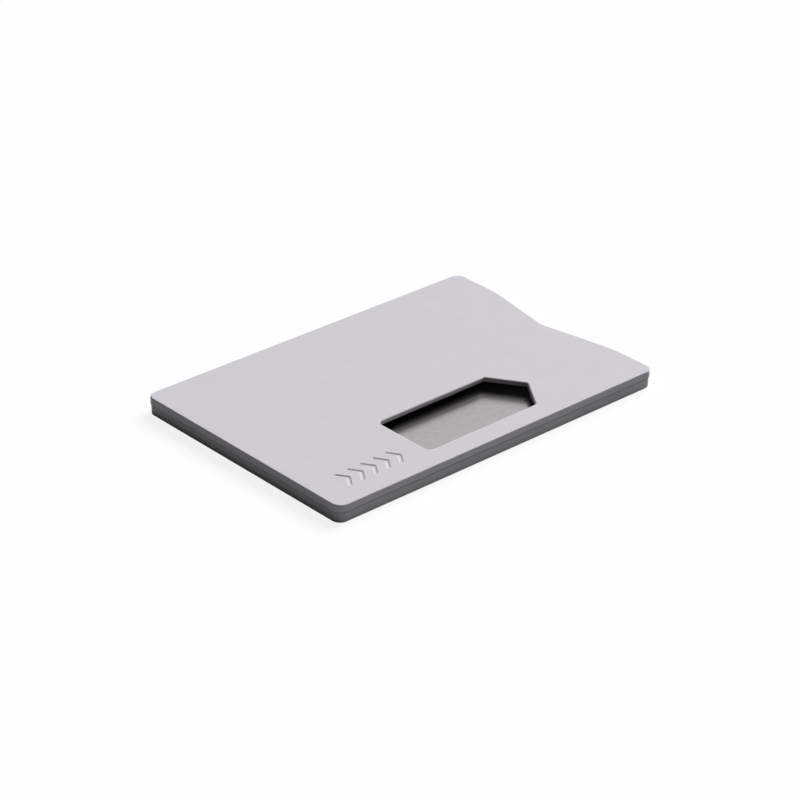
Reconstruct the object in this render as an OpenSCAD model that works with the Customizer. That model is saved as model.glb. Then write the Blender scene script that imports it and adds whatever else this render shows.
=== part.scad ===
// Hard sleeve for one bank card: two moulded half shells with a shield foil bonded inside each.
// It lies on its back. +Z is up, +X points out of the mouth, and the origin is the centre of
// the underside. All lengths are in millimetres and all angles in degrees.

/* [Card] */
// Length of the card that the pocket holds
card_l = 85.6; // [80:0.1:90]
// Width of the card
card_w = 54; // [50:0.1:58]
// Thickness of the card
card_t = 0.8; // [0.6:0.05:1.2]
// Height that raised figures add to the card
emboss_h = 0.46; // [0.2:0.02:0.6]
// Clearance over the card's raised figures
card_clear = 0.35; // [0.1:0.05:0.5]

/* [Pocket] */
// Gap between the card and each side rail
side_gap = 0.25; // [0.15:0.05:0.6]
// Gap between the card and the end stop
end_gap = 0.3; // [0.1:0.1:1]
// Radius of the pocket's two inner corners
pocket_corner_r = 2; // [1.5:0.25:3]
// How far the lead-in at the mouth goes into the shells, in length and in height
lead_in = 0.4; // [0.2:0.1:0.6]
// Distance from the card's leading edge to the straight part of the mouth
mouth_lip = 1.7; // [0.5:0.1:3]
// How far each grip nib stands into the pocket
nib_h = 0.35; // [0.25:0.05:0.5]
// Radius of the nib's round face
nib_r = 1.5; // [1.2:0.1:2]
// Distance of the nibs from the straight part of the mouth
nib_from_mouth = 8; // [6:0.5:20]

/* [Shell walls] */
// Thickness of the upper shell's skin over the pocket
upper_skin = 1.05; // [0.9:0.05:1.6]
// Thickness of the lower shell's skin under the pocket
lower_skin = 1.3; // [1:0.05:1.6]
// Depth of the pocket's share that is in the upper shell
upper_recess = 0.65; // [0.3:0.05:0.8]
// Width of the rim on each long side, from the pocket to the outside
side_rim = 3.85; // [3.3:0.05:5]
// Width of the rim at the closed end
end_rim = 3.7; // [3.3:0.05:5]
// Thickness of the outer wall beside the joint channel
outer_wall = 1.2; // [0.8:0.1:1.4]
// Thickness of the rail that guides the card's edge
rail_w = 1; // [0.7:0.1:1.2]

/* [Shell joint] */
// Clearance between the tongue and each wall of its channel
joint_gap = 0.1; // [0.05:0.05:0.2]
// Clearance under the tongue's tip
tip_gap = 0.15; // [0.1:0.05:0.3]
// Bevel along the tongue's tip
tip_bevel = 0.2; // [0.1:0.05:0.25]
// Radius in the corners of the tongue's tip, at least
tip_corner_r = 0.2; // [0.1:0.05:0.5]
// Distance from the straight part of the mouth to the end of the joint channel
channel_stop = 3.5; // [3:0.25:6]
// How far the lower shell's side stands inside the upper shell's
parting_step = 0.15; // [0.05:0.05:0.25]
// Height of the shadow gap along the parting line, which hides a slight mismatch of the shells
shadow_gap_h = 0.2; // [0.1:0.05:0.3]
// Depth of the shadow gap, from the lower shell's side
shadow_gap_d = 0.3; // [0.1:0.05:0.5]

/* [Outside] */
// Radius of the four corners, seen from above
corner_r = 2.3; // [2:0.1:5]
// Radius along the upper outside edge
edge_r = 0.25; // [0.15:0.05:0.8]
// Radius along the lower outside edge
foot_r = 0.15; // [0.1:0.05:0.5]
// Draft of the outside walls, away from the parting line
draft_a = 2; // [0.5:0.5:3]

/* [Thumb notch in the mouth] */
// Distance from the notch's middle to where its slope would meet the straight mouth
notch_half_w = 18.5; // [12:0.1:22]
// Depth at which the notch's two slopes would meet
notch_depth = 3.55; // [1:0.05:6]
// Radius where each slope runs out into the straight mouth
notch_blend_r = 26; // [5:1:30]
// Radius between the two slopes
notch_apex_r = 6; // [1:0.5:10]

/* [Thumb window in the upper shell] */
// Length of the window's straight part
window_l = 30.8; // [24:0.1:36]
// Length of the arrow tip that points at the mouth
window_tip = 5.4; // [2:0.1:8]
// Width of the window
window_w = 15.8; // [12:0.1:20]
// Distance from the window's near long side to the edge of the pocket
window_inset = 1.6; // [1.5:0.05:6]
// Distance from the arrow tip to the straight part of the mouth
window_from_mouth = 25.6; // [18:0.1:34]
// Radius of the two corners at the window's square end
window_corner_r = 1.2; // [0.8:0.1:3]
// Radius of the two shoulders and of the arrow tip
window_tip_r = 0.6; // [0.3:0.1:2]
// Radius along the window's upper edge
window_edge_r = 0.4; // [0.1:0.05:0.5]

/* [Shield foils] */
// Thickness of each foil
shield_t = 0.08; // [0.05:0.01:0.15]
// Thickness of the adhesive film behind each foil
adhesive_t = 0.04; // [0.03:0.01:0.1]
// Clearance between the foils' long sides and the grip nibs
shield_clear = 0.15; // [0.1:0.05:0.5]
// Distance of the foils from the mouth
shield_from_mouth = 1.4; // [1:0.1:4]
// Distance of the upper foil from the window
shield_from_window = 0.5; // [0.3:0.1:0.8]

/* [Hidden] */

shell_grey = "#CECBD0";
foil_silver = "#B9BABC";
film_tan = "#D8D2C0";

// Largest turn between two points of an arc in an outline, and the fewest steps in such an arc
arc_step = 7.5;
arc_min_steps = 4;
// Turn between two levels of a rounded edge
edge_step = 15;
// Overshoot that lets a cut leave the solid cleanly
cut = 1;

pocket_w = card_w + 2 * side_gap;
pocket_h = card_t + emboss_h + card_clear + 2 * (shield_t + adhesive_t);
body_l = end_rim + end_gap + card_l + mouth_lip;
body_w = pocket_w + 2 * side_rim;
body_h = lower_skin + pocket_h + upper_skin;
shield_margin = nib_h + shield_clear;

x_closed = -body_l / 2;
x_mouth = body_l / 2;
x_pocket = x_closed + end_rim;
z_floor = lower_skin;
z_ceiling = lower_skin + pocket_h;
z_parting = z_ceiling - upper_recess;

// An outline is a list of corners [x, y, radius], anticlockwise from above.
body_outline = [
    [x_closed, -body_w / 2, corner_r],
    [x_mouth, -body_w / 2, corner_r],
    [x_mouth, -notch_half_w, notch_blend_r],
    [x_mouth - notch_depth, 0, notch_apex_r],
    [x_mouth, notch_half_w, notch_blend_r],
    [x_mouth, body_w / 2, corner_r],
    [x_closed, body_w / 2, corner_r],
];

pocket_outline = [
    [x_pocket, -pocket_w / 2, pocket_corner_r],
    [x_mouth + cut, -pocket_w / 2, 0],
    [x_mouth + cut, pocket_w / 2, 0],
    [x_pocket, pocket_w / 2, pocket_corner_r],
];

// The joint channel runs on the three closed sides, inside this outline and round the rails.
channel_inset = parting_step + outer_wall;
channel_corner_r = max(corner_r - channel_inset, joint_gap + tip_bevel + tip_corner_r);
x_channel_end = x_mouth - channel_stop;
y_channel = body_w / 2 - channel_inset;
channel_outline = [
    [x_closed + channel_inset, -y_channel, channel_corner_r],
    [x_channel_end, -y_channel, 0],
    [x_channel_end, y_channel, 0],
    [x_closed + channel_inset, y_channel, channel_corner_r],
];

x_tip = x_mouth - window_from_mouth;
x_shoulder = x_tip - window_tip;
y_window = -pocket_w / 2 + window_inset;
window_outline = [
    [x_shoulder - window_l, y_window, window_corner_r],
    [x_shoulder, y_window, window_tip_r],
    [x_tip, y_window + window_w / 2, window_tip_r],
    [x_shoulder, y_window + window_w, window_tip_r],
    [x_shoulder - window_l, y_window + window_w, window_corner_r],
];

function unit(v) = v / norm(v);
function xy(p) = [p.x, p.y];
function left_of(v) = [-v.y, v.x];
function cross_z(a, b) = a.x * b.y - a.y * b.x;
function before(list, i) = list[(i + len(list) - 1) % len(list)];
function after(list, i) = list[(i + 1) % len(list)];

// The outline moved inwards by d. A convex corner loses d of its radius and a hollow one gains it.
function inset(outline, d) = [
    for (i = [0 : len(outline) - 1])
        let (
            here = outline[i],
            arriving = unit(xy(here) - xy(before(outline, i))),
            leaving = unit(xy(after(outline, i)) - xy(here)),
            n1 = left_of(arriving),
            n2 = left_of(leaving),
            moved = xy(here) + d * (n1 + n2) / (1 + n1 * n2),
            turn = sign(cross_z(arriving, leaving))
        )
        [moved.x, moved.y, max(here.z - turn * d, 0)]
];

// The points of an outline, with an arc at each corner that has a radius.
function rounded(outline) = [
    for (i = [0 : len(outline) - 1])
        let (
            corner = xy(outline[i]),
            r = outline[i].z,
            back = unit(xy(before(outline, i)) - corner),
            ahead = unit(xy(after(outline, i)) - corner),
            half = acos(back * ahead) / 2,
            centre = corner + unit(back + ahead) * r / sin(half),
            start = corner + back * r / tan(half) - centre,
            turn = (180 - 2 * half) * sign(cross_z(-back, ahead)),
            first = atan2(start.y, start.x),
            steps = r > 0 ? max(arc_min_steps, ceil(abs(turn) / arc_step)) : 0
        )
        if (steps == 0) corner
        else for (k = [0 : steps])
            centre + r * [cos(first + turn * k / steps), sin(first + turn * k / steps)]
];

// A solid through one outline at several levels. Each level is [inset, height], from the bottom up.
module loft(outline, levels) {
    rings = [for (level = levels) rounded(inset(outline, level[0]))];
    sides = len(rings[0]);
    last = len(levels) - 1;
    points = [for (j = [0 : last]) for (p = rings[j]) [p.x, p.y, levels[j][1]]];
    bottom = [for (i = [0 : sides - 1]) i];
    top = [for (i = [sides - 1 : -1 : 0]) last * sides + i];
    walls = [
        for (j = [0 : last - 1]) for (i = [0 : sides - 1])
            let (next = (i + 1) % sides)
            [j * sides + i, (j + 1) * sides + i, (j + 1) * sides + next, j * sides + next]
    ];
    polyhedron(points = points, faces = concat([bottom], walls, [top]));
}

module layer(z, thickness) {
    translate([0, 0, z]) linear_extrude(height = thickness) children();
}

module plate(outline, z0, z1) {
    layer(z0, z1 - z0) polygon(rounded(outline));
}

// Inset and height along the lower shell's side, from the underside up to the parting line.
function lower_side() =
    let (
        wall_top = z_parting - shadow_gap_h,
        foot = parting_step + (wall_top - foot_r) * tan(draft_a),
        gap_wall = parting_step + shadow_gap_d
    )
    concat(
        [for (a = [0 : edge_step : 90]) [foot + foot_r * (1 - sin(a)), foot_r * (1 - cos(a))]],
        [[parting_step, wall_top], [gap_wall, wall_top], [gap_wall, z_parting]]
    );

// The same for the upper shell, from the parting line up to the top face.
function upper_side() =
    let (head = (body_h - edge_r - z_parting) * tan(draft_a))
    concat(
        [[0, z_parting]],
        [for (a = [90 : -edge_step : 0]) [head + edge_r * (1 - sin(a)), body_h - edge_r * (1 - cos(a))]]
    );

module channel() {
    difference() {
        plate(channel_outline, z_floor, z_parting + cut);
        plate(inset(pocket_outline, -rail_w), z_floor - cut, z_parting + 2 * cut);
    }
}

// The tongue that drops into the channel.
module tongue() {
    tip = z_floor + tip_gap;
    difference() {
        loft(inset(channel_outline, joint_gap), [[tip_bevel, tip], [0, tip + tip_bevel], [0, z_parting]]);
        loft(
            inset(pocket_outline, -rail_w - joint_gap),
            [[-2 * tip_bevel, tip - tip_bevel], [0, tip + tip_bevel], [0, z_parting + cut]]
        );
    }
}

// What the lead-in takes off a skin's inner edge along the mouth. The levels give the inset and
// height of the bevel's two edges, from the bottom up.
module lead_in_cut(levels) {
    z0 = levels[0][1];
    z1 = levels[1][1];
    x_back = x_mouth - notch_depth - 2 * lead_in;
    difference() {
        translate([x_back, -pocket_w / 2, z0]) cube([x_mouth - x_back + cut, pocket_w, z1 - z0]);
        loft(body_outline, levels);
    }
}

// A half-round nib on each rail that pinches the card's long edges.
module grip_nibs() {
    nib_height = z_parting - z_floor;
    for (side = [0, 1])
        mirror([0, side, 0]) translate([x_mouth - nib_from_mouth, pocket_w / 2, z_floor])
            intersection() {
                translate([0, nib_r - nib_h, 0]) cylinder(r = nib_r, h = nib_height, $fn = 48);
                translate([-nib_r - cut, -nib_h - cut, 0])
                    cube([2 * (nib_r + cut), nib_h + cut + rail_w / 2, nib_height]);
            }
}

module lower_shell() {
    color(shell_grey) {
        difference() {
            loft(body_outline, lower_side());
            plate(pocket_outline, z_floor, z_parting + cut);
            channel();
            lead_in_cut([[parting_step, z_floor - lead_in], [parting_step + lead_in, z_floor]]);
        }
        grip_nibs();
    }
}

module upper_shell() {
    color(shell_grey) {
        difference() {
            loft(body_outline, upper_side());
            plate(pocket_outline, z_parting - cut, z_ceiling);
            window_cut();
            lead_in_cut([[lead_in, z_ceiling], [0, z_ceiling + lead_in]]);
        }
        tongue();
    }
}

// The window, with its upper edge rounded over.
module window_cut() {
    z_round = body_h - window_edge_r;
    loft(window_outline, concat(
        [[0, z_ceiling - cut]],
        [for (a = [0 : edge_step : 90]) [-window_edge_r * (1 - cos(a)), z_round + window_edge_r * sin(a)]],
        [[-window_edge_r, body_h + cut]]
    ));
}

// Plan of the foils and of the films behind them: the pocket drawn in, with the mouth's notch.
module shield_plan() {
    intersection() {
        polygon(rounded(inset(pocket_outline, shield_margin)));
        polygon(rounded(inset(body_outline, shield_from_mouth)));
    }
}

module upper_shield_plan() {
    difference() {
        shield_plan();
        polygon(rounded(inset(window_outline, -shield_from_window)));
    }
}

module upper_adhesive() {
    color(film_tan) layer(z_ceiling - adhesive_t, adhesive_t) upper_shield_plan();
}

module upper_shield() {
    color(foil_silver) layer(z_ceiling - adhesive_t - shield_t, shield_t) upper_shield_plan();
}

module lower_adhesive() {
    color(film_tan) layer(z_floor, adhesive_t) shield_plan();
}

module lower_shield() {
    color(foil_silver) layer(z_floor + adhesive_t, shield_t) shield_plan();
}

upper_shell();
lower_shell();
upper_shield();
lower_shield();
upper_adhesive();
lower_adhesive();
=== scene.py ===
import math

import bmesh
import bpy
from mathutils import Matrix, Vector


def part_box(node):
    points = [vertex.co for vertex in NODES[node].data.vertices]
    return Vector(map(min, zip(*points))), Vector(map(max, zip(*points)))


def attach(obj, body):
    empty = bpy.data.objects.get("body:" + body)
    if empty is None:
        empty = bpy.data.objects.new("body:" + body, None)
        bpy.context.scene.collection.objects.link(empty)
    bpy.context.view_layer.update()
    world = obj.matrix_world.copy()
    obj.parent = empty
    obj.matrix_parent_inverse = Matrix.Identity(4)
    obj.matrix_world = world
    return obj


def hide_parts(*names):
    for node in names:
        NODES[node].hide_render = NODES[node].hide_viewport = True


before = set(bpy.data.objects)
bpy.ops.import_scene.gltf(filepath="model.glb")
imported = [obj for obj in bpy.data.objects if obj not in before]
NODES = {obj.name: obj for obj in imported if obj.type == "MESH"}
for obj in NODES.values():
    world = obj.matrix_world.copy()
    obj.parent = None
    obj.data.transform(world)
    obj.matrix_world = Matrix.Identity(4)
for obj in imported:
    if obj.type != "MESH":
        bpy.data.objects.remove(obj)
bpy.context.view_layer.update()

MM = 0.001

# Corners of the CAD mesh nearer than this are one corner
SAME_PLACE = 0.0005 * MM
# Faces that turn less than this are one flat face
FLAT_TURN = math.radians(0.1)
# Edges that turn more than this stay crisp, and the facets of a round edge turn less
CRISP_TURN = math.radians(30)

# A moulded edge is never sharp: this radius is left by the cutter that makes the mould
MOULD_EDGE_R = 0.05 * MM
MOULD_EDGE_STEPS = 2

# The row of engraved arrowheads that point out of the mouth
ARROWHEADS = 5
ARROWHEAD_PITCH = 3.5 * MM
ARROWHEAD_HALF_HEIGHT = 2.8 * MM
ARROWHEAD_SWEEP = 1.9 * MM
ARROWHEAD_STROKE = 1.3 * MM
ARROWHEAD_DEPTH = 0.25 * MM
# Slope of the engraved walls, from upright
ARROWHEAD_DRAFT = math.radians(48)
# The first arrowhead's distance from the closed end, and the row's middle line from the near side
ARROWS_FROM_CLOSED_END = 7 * MM
ARROWS_FROM_NEAR_SIDE = 8 * MM
# How far the engraving cutter stands out of the face
CUTTER_ABOVE = 0.05 * MM

# The camera, as the photograph was taken: metres, and a lens in millimetres on a 36 mm sensor
CAMERA_PLACE = Vector((-0.36571, -0.39264, 0.28951))
CAMERA_AIM = Vector((-0.00361, -0.00301, 0.0022))
CAMERA_ROLL = math.radians(1.14)
CAMERA_LENS = 127.19
CAMERA_NEAREST = 0.01
CAMERA_FARTHEST = 20

# Paper sweep under the object, just clear of its underside
FLOOR_HALF_WIDTH = 4
FLOOR_CLEAR = 0.02 * MM
# Share of the paper's brightness, to the camera, that no shadow takes away
PAPER_WHITE_SHARE = 0.86
# Light from the rest of the room, where 1 is a white sky
ROOM_LIGHT = 0.02

# The sockets of a colour Mix node, whose names aren't unique: its two colours in, and its result
COLOUR_A = 6
COLOUR_B = 7
MIXED_COLOUR = 2


def linear(hex_colour):
    """An sRGB hex colour as linear red, green, blue and alpha."""
    parts = [int(hex_colour[i:i + 2], 16) / 255 for i in (1, 3, 5)]
    return [p / 12.92 if p <= 0.04045 else ((p + 0.055) / 1.055) ** 2.4 for p in parts] + [1]


def add(tree, kind, inputs, **settings):
    """Adds a node, with its inputs set to values or linked to other nodes' outputs. An input goes
    by its name or, where two have the same name, by its number."""
    node = tree.nodes.new("ShaderNode" + kind)
    for name, value in settings.items():
        setattr(node, name, value)
    for name, value in inputs.items():
        if isinstance(value, bpy.types.NodeSocket):
            tree.links.new(value, node.inputs[name])
        else:
            node.inputs[name].default_value = value
    return node


def new_material(name):
    """A material with nothing in it but its output."""
    material = bpy.data.materials.new(name)
    material.use_nodes = True
    material.node_tree.nodes.clear()
    return material


def moulded_abs():
    """ABS, injection moulded against a fine spark-eroded steel face. The eye sees an even, soft
    satin grey with hardly any mirror image, and a grain as fine as writing paper close by."""
    material = new_material("abs_moulded_spark_eroded")
    tree = material.node_tree
    place = add(tree, "TexCoord", {}).outputs["Object"]

    # Real spark-eroded grain is about 0.05 mm; it is drawn at 0.25 mm so that a close view holds it
    grain_size = 0.25 * MM
    grain_height = 0.006 * MM
    grain = add(tree, "TexNoise", {"Vector": place, "Scale": 1 / grain_size, "Detail": 3, "Roughness": 0.6})
    bump = add(tree, "Bump", {"Height": grain.outputs["Fac"], "Strength": 0.5, "Distance": grain_height})

    # Gloss drifts a little over the face, as the melt cools at different rates
    drift_size = 18 * MM
    drift = add(tree, "TexNoise", {"Vector": place, "Scale": 1 / drift_size, "Detail": 1})
    gloss = add(tree, "MapRange", {"Value": drift.outputs["Fac"], "To Min": 0.46, "To Max": 0.56})

    # The pigment is spread a little unevenly
    cloud_size = 5 * MM
    clouds = add(tree, "TexNoise", {"Vector": place, "Scale": 1 / cloud_size, "Detail": 4})
    tone = add(tree, "Mix", {
        "Factor": clouds.outputs["Fac"],
        COLOUR_A: linear("#CBC8CD"),
        COLOUR_B: linear("#D1CED3"),
    }, data_type="RGBA")

    shader = add(tree, "BsdfPrincipled", {
        "Base Color": tone.outputs[MIXED_COLOUR],
        "Roughness": gloss.outputs["Result"],
        "IOR": 1.5,
        "Specular IOR Level": 0.2,
        "Normal": bump.outputs["Normal"],
    })
    add(tree, "OutputMaterial", {"Surface": shader.outputs["BSDF"]})
    return material


def rolled_foil():
    """Aluminium foil, matt side up, as it comes off the rolls. The eye sees a soft, faintly cloudy
    grey metal with streaks along the rolling direction, a little wavy from being rubbed down."""
    material = new_material("aluminium_foil_rolled")
    tree = material.node_tree
    place = add(tree, "TexCoord", {}).outputs["Object"]

    # Streaks run along the card
    streak_length = 25 * MM
    streak_width = 0.3 * MM
    stretched = add(tree, "Mapping", {
        "Vector": place,
        "Scale": (1 / streak_length, 1 / streak_width, 1 / streak_width),
    })
    streaks = add(tree, "TexNoise", {"Vector": stretched.outputs["Vector"], "Scale": 1, "Detail": 2})
    gloss = add(tree, "MapRange", {"Value": streaks.outputs["Fac"], "To Min": 0.2, "To Max": 0.27})

    wave_size = 7 * MM
    wave_height = 0.02 * MM
    waves = add(tree, "TexNoise", {"Vector": place, "Scale": 1 / wave_size, "Detail": 1})
    waved = add(tree, "Bump", {"Height": waves.outputs["Fac"], "Strength": 0.5, "Distance": wave_height})
    streak_height = 0.001 * MM
    streaked = add(tree, "Bump", {
        "Height": streaks.outputs["Fac"],
        "Strength": 0.5,
        "Distance": streak_height,
        "Normal": waved.outputs["Normal"],
    })

    # The clouds of the matt side, drawn out a little by the streaks
    cloud_size = 1.5 * MM
    streak_share = 0.35
    clouds = add(tree, "TexNoise", {"Vector": place, "Scale": 1 / cloud_size, "Detail": 4})
    cloudy = add(tree, "Mix", {
        "Factor": streak_share,
        "A": clouds.outputs["Fac"],
        "B": streaks.outputs["Fac"],
    })
    haze = add(tree, "MapRange", {"Value": cloudy.outputs["Result"], "From Min": 0.35, "From Max": 0.65})
    tone = add(tree, "Mix", {
        "Factor": haze.outputs["Result"],
        COLOUR_A: linear("#A39FA0"),
        COLOUR_B: linear("#AAA6A7"),
    }, data_type="RGBA")

    shader = add(tree, "BsdfPrincipled", {
        "Base Color": tone.outputs[MIXED_COLOUR],
        "Metallic": 1,
        "Roughness": gloss.outputs["Result"],
        "Normal": streaked.outputs["Normal"],
    })
    add(tree, "OutputMaterial", {"Surface": shader.outputs["BSDF"]})
    return material


def adhesive_film():
    """Acrylic transfer adhesive, coated as a thin film. The eye sees a thin yellowish line with a
    wet gloss at the edges of the foils."""
    material = new_material("acrylic_adhesive_coated")
    tree = material.node_tree
    place = add(tree, "TexCoord", {}).outputs["Object"]

    # Coating ripple, from crest to crest and in height
    ripple_size = 1 * MM
    ripple_height = 0.005 * MM
    ripple = add(tree, "TexNoise", {"Vector": place, "Scale": 1 / ripple_size, "Detail": 2})
    bump = add(tree, "Bump", {"Height": ripple.outputs["Fac"], "Strength": 0.5, "Distance": ripple_height})
    shader = add(tree, "BsdfPrincipled", {
        "Base Color": linear("#D8D2C0"),
        "Roughness": 0.25,
        "IOR": 1.47,
        "Normal": bump.outputs["Normal"],
    })
    add(tree, "OutputMaterial", {"Surface": shader.outputs["BSDF"]})
    return material


def seen_by_camera(tree):
    """One where the camera sees a surface, by itself or in a mirror image, and nought where the
    surface only lights another one."""
    path = add(tree, "LightPath", {}).outputs
    seen = add(tree, "Math", {0: path["Is Camera Ray"], 1: path["Is Glossy Ray"]}, operation="MAXIMUM")
    seen = add(tree, "Math", {0: seen.outputs[0], 1: path["Is Transmission Ray"]}, operation="MAXIMUM")
    first = add(tree, "Math", {0: path["Diffuse Depth"], 1: 1}, operation="LESS_THAN")
    return add(tree, "Math", {0: seen.outputs[0], 1: first.outputs[0]}, operation="MULTIPLY").outputs[0]


def studio_paper():
    """Matt white background paper. The camera sees it nearly white, with the object's shadow
    kept, and the object is lit by it as by plain pale grey paper."""
    material = new_material("paper_uncoated_white")
    tree = material.node_tree
    path = add(tree, "LightPath", {}).outputs
    straight = add(tree, "Math", {
        0: path["Is Camera Ray"],
        1: path["Is Transmission Ray"],
    }, operation="MAXIMUM")
    share = add(tree, "Math", {0: straight.outputs[0], 1: PAPER_WHITE_SHARE}, operation="MULTIPLY")
    colour = add(tree, "Mix", {
        "Factor": seen_by_camera(tree),
        COLOUR_A: linear("#A6A6A6"),
        COLOUR_B: linear("#FAFAFA"),
    }, data_type="RGBA")
    paper = add(tree, "BsdfDiffuse", {"Color": colour.outputs[MIXED_COLOUR]})
    white = add(tree, "Emission", {"Color": linear("#FFFFFF"), "Strength": 1})
    mix = add(tree, "MixShader", {0: share.outputs[0], 1: paper.outputs[0], 2: white.outputs[0]})
    add(tree, "OutputMaterial", {"Surface": mix.outputs[0]})
    return material


def put_in_scene(name, form):
    """Turns a bmesh into an object of the scene, at the origin."""
    mesh = bpy.data.meshes.new(name)
    form.to_mesh(mesh)
    form.free()
    piece = bpy.data.objects.new(name, mesh)
    bpy.context.scene.collection.objects.link(piece)
    return piece


def merged_copy(node, name):
    """A CAD node's mesh as one connected surface, with its flat faces in one piece. The loose
    triangles' own normals come off it, because they no longer fit."""
    form = bmesh.new()
    form.from_mesh(NODES[node].data)
    for layer in list(form.loops.layers.float_vector.values()):
        form.loops.layers.float_vector.remove(layer)
    bmesh.ops.remove_doubles(form, verts=form.verts, dist=SAME_PLACE)
    bmesh.ops.dissolve_limit(form, angle_limit=FLAT_TURN, verts=form.verts, edges=form.edges)
    return put_in_scene(name, form)


def apply_modifiers(piece):
    """Makes what the modifiers show the piece's own mesh."""
    graph = bpy.context.evaluated_depsgraph_get()
    finished = bpy.data.meshes.new_from_object(piece.evaluated_get(graph))
    piece.modifiers.clear()
    piece.data = finished


def arrowhead_cutter():
    """The solid that an engraving cutter removes: a row of arrowheads, narrower at the bottom."""
    low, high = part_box("upper_shell")
    place = Vector((
        low.x + ARROWS_FROM_CLOSED_END,
        low.y + ARROWS_FROM_NEAR_SIDE,
        high.z + CUTTER_ABOVE,
    ))
    ahead = Vector((ARROWHEAD_SWEEP, 0, 0))
    arm = Vector((0, ARROWHEAD_HALF_HEIGHT, 0))
    thick = Vector((ARROWHEAD_STROKE, 0, 0))
    outline = [-arm, thick - arm, thick + ahead, thick + arm, arm, ahead]
    sink = ARROWHEAD_DEPTH + CUTTER_ABOVE
    slope = sink * math.tan(ARROWHEAD_DRAFT)
    form = bmesh.new()
    for _ in range(ARROWHEADS):
        face = form.faces.new([form.verts.new(place + p) for p in outline])
        lid = bmesh.ops.extrude_face_region(form, geom=[face])["geom"]
        lid_corners = [v for v in lid if isinstance(v, bmesh.types.BMVert)]
        bmesh.ops.translate(form, verts=lid_corners, vec=(0, 0, CUTTER_ABOVE))
        bmesh.ops.inset_region(form, faces=[face], thickness=slope, use_even_offset=True)
        bmesh.ops.translate(form, verts=face.verts, vec=(0, 0, -sink))
        place.x += ARROWHEAD_PITCH
    bmesh.ops.recalc_face_normals(form, faces=form.faces)
    return put_in_scene("arrowhead_cutter", form)


def finish_shell(piece, material):
    """Softens the crisp edges as a mould does and shades the round ones smooth."""
    bevel = piece.modifiers.new("mould_edges", "BEVEL")
    bevel.width = MOULD_EDGE_R
    bevel.segments = MOULD_EDGE_STEPS
    bevel.limit_method = "ANGLE"
    bevel.angle_limit = CRISP_TURN
    bevel.use_clamp_overlap = True
    apply_modifiers(piece)
    piece.data.shade_smooth()
    piece.data.set_sharp_from_angle(angle=CRISP_TURN)
    weighted = piece.modifiers.new("flat_faces_stay_flat", "WEIGHTED_NORMAL")
    weighted.keep_sharp = True
    piece.data.materials.clear()
    piece.data.materials.append(material)


def make_upper_shell(material):
    """The upper shell, with the arrowheads cut into its face."""
    shell = merged_copy("upper_shell", "upper_shell_moulding")
    cutter = arrowhead_cutter()
    engraving = shell.modifiers.new("engraving", "BOOLEAN")
    engraving.operation = "DIFFERENCE"
    engraving.solver = "EXACT"
    engraving.object = cutter
    apply_modifiers(shell)
    bpy.data.objects.remove(cutter)
    finish_shell(shell, material)
    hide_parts("upper_shell")
    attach(shell, "root")


def make_lower_shell(material):
    """The lower shell, plain all over."""
    shell = merged_copy("lower_shell", "lower_shell_moulding")
    finish_shell(shell, material)
    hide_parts("lower_shell")
    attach(shell, "root")


def dress(node, material):
    """Gives a CAD node whose shape is right its real material."""
    NODES[node].material_slots[0].material = material


def make_floor():
    """A sheet of paper under the object, far wider than any view."""
    form = bmesh.new()
    bmesh.ops.create_grid(form, x_segments=1, y_segments=1, size=FLOOR_HALF_WIDTH)
    bmesh.ops.translate(form, verts=form.verts, vec=(0, 0, -FLOOR_CLEAR))
    floor = put_in_scene("floor", form)
    floor.data.materials.append(studio_paper())


def make_camera():
    """The camera at the photograph's place, with its view rolled as the photograph's is."""
    lens = bpy.data.cameras.new("camera")
    lens.lens = CAMERA_LENS
    lens.clip_start = CAMERA_NEAREST
    lens.clip_end = CAMERA_FARTHEST
    camera = bpy.data.objects.new("camera", lens)
    bpy.context.scene.collection.objects.link(camera)
    level = (CAMERA_AIM - CAMERA_PLACE).to_track_quat("-Z", "Y").to_matrix()
    rolled = level @ Matrix.Rotation(CAMERA_ROLL, 3, "Z")
    camera.matrix_world = Matrix.Translation(CAMERA_PLACE) @ rolled.to_4x4()
    bpy.context.scene.camera = camera


def lamp(name, azimuth, elevation, width, strength):
    """A far soft lamp. Azimuth turns from +X to +Y, and the width is the angle that it fills. The
    three angles are in degrees."""
    light = bpy.data.lights.new(name, "SUN")
    light.energy = strength
    light.angle = math.radians(width)
    holder = bpy.data.objects.new(name, light)
    bpy.context.scene.collection.objects.link(holder)
    turn, rise = math.radians(azimuth), math.radians(elevation)
    towards = Vector((math.cos(turn) * math.cos(rise), math.sin(turn) * math.cos(rise), math.sin(rise)))
    holder.matrix_world = towards.to_track_quat("Z", "Y").to_matrix().to_4x4()


def make_world():
    """The rest of the studio: white to the camera, and dim to everything else."""
    world = bpy.data.worlds.new("studio")
    world.use_nodes = True
    tree = world.node_tree
    tree.nodes.clear()
    dim = add(tree, "Background", {"Color": linear("#FFFFFF"), "Strength": ROOM_LIGHT})
    white = add(tree, "Background", {"Color": linear("#FDFDFD"), "Strength": 1})
    mix = add(tree, "MixShader", {0: seen_by_camera(tree), 1: dim.outputs[0], 2: white.outputs[0]})
    add(tree, "OutputWorld", {"Surface": mix.outputs[0]})
    bpy.context.scene.world = world


make_camera()
make_floor()
make_world()
lamp("key_softbox", azimuth=9, elevation=46, width=35, strength=4.03)

shell_abs = moulded_abs()
shield_foil = rolled_foil()
film = adhesive_film()
make_upper_shell(shell_abs)
make_lower_shell(shell_abs)
for node in ("upper_shield", "lower_shield"):
    dress(node, shield_foil)
for node in ("upper_adhesive", "lower_adhesive"):
    dress(node, film)

bpy.context.scene.view_settings.view_transform = "Standard"
